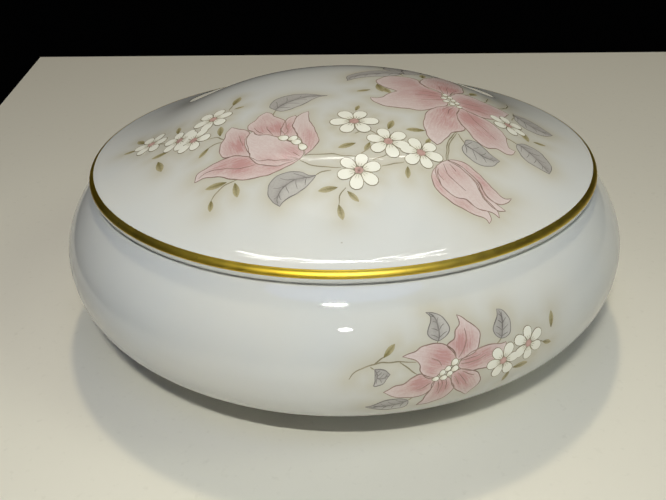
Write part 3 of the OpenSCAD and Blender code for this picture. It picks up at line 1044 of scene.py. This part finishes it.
BOWL_FOLDS = [
    [(15.2, 4.2), (16.4, 3.6), (17.1, 2.4)], [(20.2, 3.4), (21.4, 4.8), (22, 6.4), (21.9, 8.4)],
    [(18.4, 5.6), (19.2, 4.6), (19.6, 3.6)], [(20.6, 2), (23, 2), (25.6, 2.5)],
    [(20.4, 2.7), (22.4, 2.7), (24.6, 3.1)], [(16.3, -0.4), (16.6, -1.8), (16.5, -3.2)],
    [(17, -0.4), (17.2, -1.8), (16.8, -3.6)], [(17.8, -0.4), (18, -1.8), (18, -3)],
    [(19.4, -0.2), (20, -1.4), (20.4, -2.4)], [(20.2, 0.3), (21.2, -1.2), (22, -2.8)],
    [(21, 0.4), (22.4, -0.4), (23.4, -1)], [(15, -0.6), (14, -1.4), (12.6, -1.9)],
]
BOWL_LEAVES = [
    [[(15.6, 7.5), (15, 8.5), (15.2, 9.6), (15.8, 10.6), (16, 11.4), (15.2, 12.2)],
     [(16.6, 11.9), (18, 11.1), (18.9, 9.9), (19, 8.6), (18.2, 7.6), (16.8, 7)]],
    [[(27.9, 5.6), (27.7, 6.7), (28.4, 7.9), (28.9, 8.8), (29.2, 10)],
     [(30.3, 9.5), (31.2, 8.2), (31.5, 6.6), (31.1, 5.3), (30, 4.7), (29, 4.8)]],
    [[(6, 3.2), (7, 2.9), (7.8, 2.1)],
     [(7.2, 1.3), (6.6, 0.4), (5.6, 0), (4.9, 0), (5.3, 1.2), (5.1, 3.2)]],
    [[(9.2, -3.6), (7, -3.9), (5.2, -4.9), (3.5, -5.4)],
     [(5.5, -6.5), (7.5, -7), (9.5, -7), (10.9, -6.4), (11.4, -5.4), (11.2, -4.4)]],
]
BOWL_BLOSSOMS = [(35, 1.9, 3.5, 28), (29.3, 0.2, 3.5, 2)]
BOWL_LEAFLETS = [
    (6.7, 5.2, 3.2, 46), (40.9, 2.8, 3.3, 80), (38.6, 0.8, 2.7, -25), (31.8, -2.4, 3.7, -4),
    (31.2, -2.7, 3, -108),
]
BOWL_STAMENS = [
    (15.3, -0.1, 1.2, 10), (16.7, 0.6, 1.2, 45), (16.7, -0.1, 1.3, 5), (17.6, 1.4, 1.2, 25),
    (18, 0.2, 1.2, 40), (18.9, 2.2, 1.4, 40), (18.8, 1.1, 1.4, 25),
]
BOWL_STALKS = [
    [(0.7, 1.5), (1.6, 2.7), (3.4, 3.8), (5.8, 4.3), (8, 4.4), (10, 4.2), (12.5, 3.9)],
    [(9.6, 4.1), (11, 3), (12.4, 1.5)], [(5, 4.2), (6, 4.8), (6.8, 5.3)],
    [(16.8, 7.1), (16.6, 6.7)], [(28, 4), (28.6, 4.5), (29.1, 5)], [(4.4, 3.7), (5, 3.2)],
    [(38.6, 0.8), (37.8, 1.2)], [(11.2, -4.4), (11.8, -3.8)],
]


# ---- firing the prints

LEAFLET = dict(Petals=1, Start=0.0, Width=0.175, Point=0.9, Unevenness=0.0, Border=0.0, Seed=3)
BLOSSOM = dict(Petals=6, Start=0.2, Width=0.275, Point=0.0, Unevenness=0.07, Seed=5)
MIDDLE = dict(Petals=5, Start=-0.4, Width=0.6, Point=0.0, Unevenness=0.15, Border=0.0, Seed=9)
STAMEN = dict(Petals=1, Start=0.0, Width=0.36, Point=0.0, Unevenness=0.0, Seed=2)
# How much of a blossom its heart takes up, and how far the shade shows round white enamel
HEART_SHARE = 0.2
BLOSSOM_BORDER = 0.034
STAMEN_BORDER = 0.09
RAYS = 18


def blossom_rays(blossoms):
    """Lines out of each blossom's heart: two on each petal and a longer one between petals."""
    rays = []
    for x, y, reach, way in blossoms:
        for number in range(RAYS):
            t = math.radians(way + 360 / RAYS * (number - 0.5))
            end, pen = (0.5, "long_ray") if number % 3 == 2 else (0.42, "ray")
            run = [(x + k * reach * math.cos(t), y + k * reach * math.sin(t))
                   for k in (HEART_SHARE, end)]
            rays.append((spline(run, 0.5), PENS[pen]))
    return rays


def spot_marks(blossoms, leaflets):
    """Marks round and in the middle of each blossom, and along each leaflet."""
    marks = []
    for x, y, reach, way in blossoms:
        t = np.radians(np.arange(0, 360, 30))
        marks += [np.stack([x + r * np.cos(t), y + r * np.sin(t)], 1) for r in (0, reach)]
    for x, y, reach, way in leaflets:
        t = np.array([0.2, 0.6, 1.0]) * reach
        marks.append(np.stack([x + t * math.cos(math.radians(way)),
                               y + t * math.sin(math.radians(way))], 1))
    return marks


def fire_prints(side, place, petals, folds, leaves, blossoms, leaflets, stamens, stalks):
    """Every printed piece of one spray, and the marks that its tint spreads from."""
    pieces = []
    petals = [(whole_runs(runs), blush) for runs, blush in petals]
    leaves = [whole_runs(runs) for runs in leaves]

    def pen_work(kind, strokes, ink):
        pieces.append(draw(f"{side}_{kind}", strokes, HEIGHTS[kind], place, ink))

    def spot_work(kind, spots, finish, **sizes):
        pieces.append(florets(f"{side}_{kind}", spots, HEIGHTS[kind], place, finish, **sizes))

    leaf_art, leaf_lines, petal_art = Print(), [], Print()
    marks = [print_leaf(leaf_art, leaf_lines, runs, HEIGHTS["grey_leaves"] + STEP * (n % 2))
             for n, runs in enumerate(leaves)]
    marks += [print_petal(petal_art, runs, blush, HEIGHTS["pink_petals"] + STEP * (n % 6))
              for n, (runs, blush) in enumerate(petals)]
    petal_lines = [(spline(run), PENS["petal"]) for runs, blush in petals for run in runs]
    petal_lines += [(spline(fold), PENS["fold"]) for fold in folds]
    hearts = [(x, y, HEART_SHARE * reach, 0) for x, y, reach, way in blossoms]

    pieces.append(leaf_art.fired(side + "_grey_leaves", place, GREY))
    pen_work("stalks", [(spline(stalk), PENS["stalk"]) for stalk in stalks], STALK_INK)
    spot_work("leaflets", leaflets, OLIVE, **LEAFLET)
    pieces.append(petal_art.fired(side + "_pink_petals", place, PINK))
    pen_work("petal_lines", petal_lines, ROSE_INK)
    pen_work("leaf_lines", leaf_lines, GREY_INK)
    spot_work("blossom_shade", blossoms, SHADE, Border=BLOSSOM_BORDER, **BLOSSOM)
    spot_work("blossoms", blossoms, ENAMEL, Border=0.0, **BLOSSOM)
    spot_work("hearts", hearts, HEART, **MIDDLE)
    pen_work("blossom_lines", blossom_rays(blossoms), SHADE)
    spot_work("stamen_shade", stamens, SHADE, Border=STAMEN_BORDER, **STAMEN)
    spot_work("stamens", stamens, ENAMEL, Border=0.0, **STAMEN)

    marks += spot_marks(blossoms, leaflets) + [spline(stalk) for stalk in stalks]
    return pieces, np.concatenate(marks), [loop_of(runs) for runs, blush in petals]


lid_prints, lid_marks, lid_solids = fire_prints(
    "lid", on_lid, LID_PETALS, LID_FOLDS, LID_LEAVES, LID_BLOSSOMS, LID_LEAFLETS, LID_STAMENS,
    LID_STALKS)
bowl_prints, bowl_marks, bowl_solids = fire_prints(
    "bowl", on_bowl, BOWL_PETALS, BOWL_FOLDS, BOWL_LEAVES, BOWL_BLOSSOMS, BOWL_LEAFLETS,
    BOWL_STAMENS, BOWL_STALKS)

# ---- the porcelain, the gilding and the tint round the prints

# How strong the tint is at a print, how many millimetres it spreads and how fast it falls
TINT_DEPTH = 0.64
TINT_SPREAD = 2.6
TINT_FALL = 1.3
# How far round the widest line the bowl's tint can reach, left and right of the front
TINT_FROM, TINT_TO = -12, 56

bowl = turn("bowl_body", bowl_outline(), BOWL_PORCELAIN)
lid = turn("lid_body", lid_outline(), LID_PORCELAIN)
gilt = turn("gilt_line", gilt_outline(), GOLD, closed=True)


def add_tint(obj, u, v, near, marks, solids):
    """Stores how strongly the beige tint shows, strongest against and under the print."""
    points = np.stack([u, v], 1)[near]
    gap = nearest(points, marks)
    for outline in solids:
        gap = np.where(inside(points, outline), 0, gap)
    tint = np.zeros(len(near))
    tint[near] = TINT_DEPTH * np.exp(-(gap / TINT_SPREAD) ** TINT_FALL)
    add_values(obj.data, "tint", tint)


def tint_lid():
    x, y, z = (coords(lid.data) / MM).T
    over = (z > ROLL_END_Z - 0.4) & (np.abs(z - lid_top(np.hypot(x, y))) < 0.3)
    add_tint(lid, x, y, over, lid_marks, lid_solids)


def tint_bowl():
    x, y, z = (coords(bowl.data) / MM).T
    bearing = np.arctan2(x, -y) * BELLY_R
    near = np.abs(np.hypot(x, y) - np.interp(z, wall_z, wall_r)) < 0.5
    near &= (bearing > TINT_FROM) & (bearing < TINT_TO)
    add_tint(bowl, bearing, np.interp(z, wall_z, wall_run), near, bowl_marks, bowl_solids)


tint_lid()
tint_bowl()

# ---- what rides on what

for piece, body, slot_name in [(bowl, "bowl", "bowl_porcelain"), (lid, "lid", "lid_porcelain"),
                               (gilt, "lid", "gilding"),
                               *[(p, "lid", "lid_porcelain") for p in lid_prints],
                               *[(p, "bowl", "bowl_porcelain") for p in bowl_prints]]:
    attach(piece, body)
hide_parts("bowl")
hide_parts("lid")
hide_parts("gilt_band")

# ---- table, lights, camera

TABLE_CORNERS = [(1.1, -1.2), (1.1, 0.192), (-0.162, 0.231), (0.02, -1.2)]
TABLE_T = 0.02


def table_finish():
    """Cream paint with a little dark grit in it."""
    finish, tree, shader, where = new_finish("painted_table")
    cream = blend(tree, span(tree, noise(tree, where, 3.0, 3.0), 0.3, 0.7),
                  (0.73, 0.71, 0.645), (0.755, 0.735, 0.67))
    grit = span(tree, noise(tree, where, 500.0, 3.0), 0.62, 0.75, 0.0, 0.12)
    tree.links.new(blend(tree, grit, cream, (0.35, 0.33, 0.28)), shader.inputs["Base Color"])
    shader.inputs["Roughness"].default_value = 0.45
    shader.inputs["Specular IOR Level"].default_value = 0.3
    return finish


def lay_table():
    """A pale table top whose far left corner lies behind the box."""
    points = [(x, y, z) for z in (-TABLE_T, 0) for x, y in TABLE_CORNERS]
    sides = [(i, (i + 1) % 4, 4 + (i + 1) % 4, 4 + i) for i in range(4)]
    top = mesh_object("table_top", points, (), [(3, 2, 1, 0), (4, 5, 6, 7), *sides])
    top.data.materials.append(table_finish())


def light(name, spot, aim, width, depth, watts, colour):
    """An oval lamp at a spot, turned to face its aim."""
    lamp = bpy.data.lights.new(name, "AREA")
    lamp.shape = "ELLIPSE"
    lamp.size, lamp.size_y = width, depth
    lamp.energy = watts
    lamp.color = colour
    obj = link(name, lamp)
    obj.location = spot
    obj.rotation_euler = (Vector(aim) - Vector(spot)).to_track_quat("-Z", "Y").to_euler()
    return obj


def set_ceiling():
    """Three tubes that follow the brim's far side, in a glow that fades outwards."""
    for number, (x, y, aim_x, length) in enumerate([(-0.223, 0.43, -0.37, 0.18),
                                                    (0.005, 0.393, 0, 0.34),
                                                    (0.226, 0.43, 0.37, 0.18)]):
        light(f"ceiling_tube_{number}", (x, y, 0.9), (aim_x, 0, 0.04), length, 0.003,
              0.4 * length, (1.0, 0.98, 0.94))
    for number, (y, width, depth, watts) in enumerate([(0.3, 1.1, 0.40, 0.36),
                                                       (0.3, 0.8, 0.32, 0.24),
                                                       (0.29, 0.55, 0.24, 0.16),
                                                       (0.215, 0.4, 0.08, 0.06)]):
        light(f"ceiling_glow_{number}", (0.03, y, 0.9), (0, 0, 0.04), width, depth, watts,
              (1.0, 0.97, 0.88))


def set_lights():
    """Two small lights in front, the ceiling, a warm lamp behind, a window and the sky."""
    light("key_light", (-0.013, -0.21, 0.223), (0, 0, 0.02), 0.036, 0.002, 0.42,
          (1.0, 1.0, 0.87))
    light("front_light", (0.002, -0.21, 0.125), (0, 0, 0.03), 0.017, 0.010, 0.017,
          (1.0, 0.99, 0.96))
    set_ceiling()
    for name, spot, width, watts, colour in [
            ("back_lamp", (0.0, 0.38, 1.15), 0.10, 3.1, (1.0, 0.86, 0.56)),
            ("side_window", (0.6, -0.2, 0.6), 0.3, 1.0, (0.95, 1.0, 0.80))]:
        light(name, spot, (0, 0, 0), width, width, watts, colour).visible_glossy = False
    light("sky_panel", (0.0, -0.5, 0.9), (0, 0, 0.03), 0.9, 0.35, 1.2, (0.25, 0.4, 1.0))
    world = bpy.data.worlds.new("studio")
    world.use_nodes = True
    background = world.node_tree.nodes["Background"]
    background.inputs["Color"].default_value = (0.9, 0.95, 1.0, 1)
    background.inputs["Strength"].default_value = 0.0005
    bpy.context.scene.world = world


def set_camera():
    """Looks down at the front, slightly to the left and slightly tilted."""
    lens = bpy.data.cameras.new("camera")
    lens.sensor_width = 36
    lens.lens = 39.5
    lens.clip_start = 0.01
    camera = link("camera", lens)
    yaw, pitch, roll = (math.radians(a) for a in (-0.91, -30.07, -1.19))
    turned = (Matrix.Rotation(-yaw, 4, "Z") @ Matrix.Rotation(math.pi / 2 + pitch, 4, "X")
              @ Matrix.Rotation(roll, 4, "Z"))
    camera.matrix_world = Matrix.Translation((0, -161.7 * MM, 104.7 * MM)) @ turned
    bpy.context.scene.camera = camera


lay_table()
set_lights()
set_camera()
bpy.context.scene.view_settings.view_transform = "Standard"
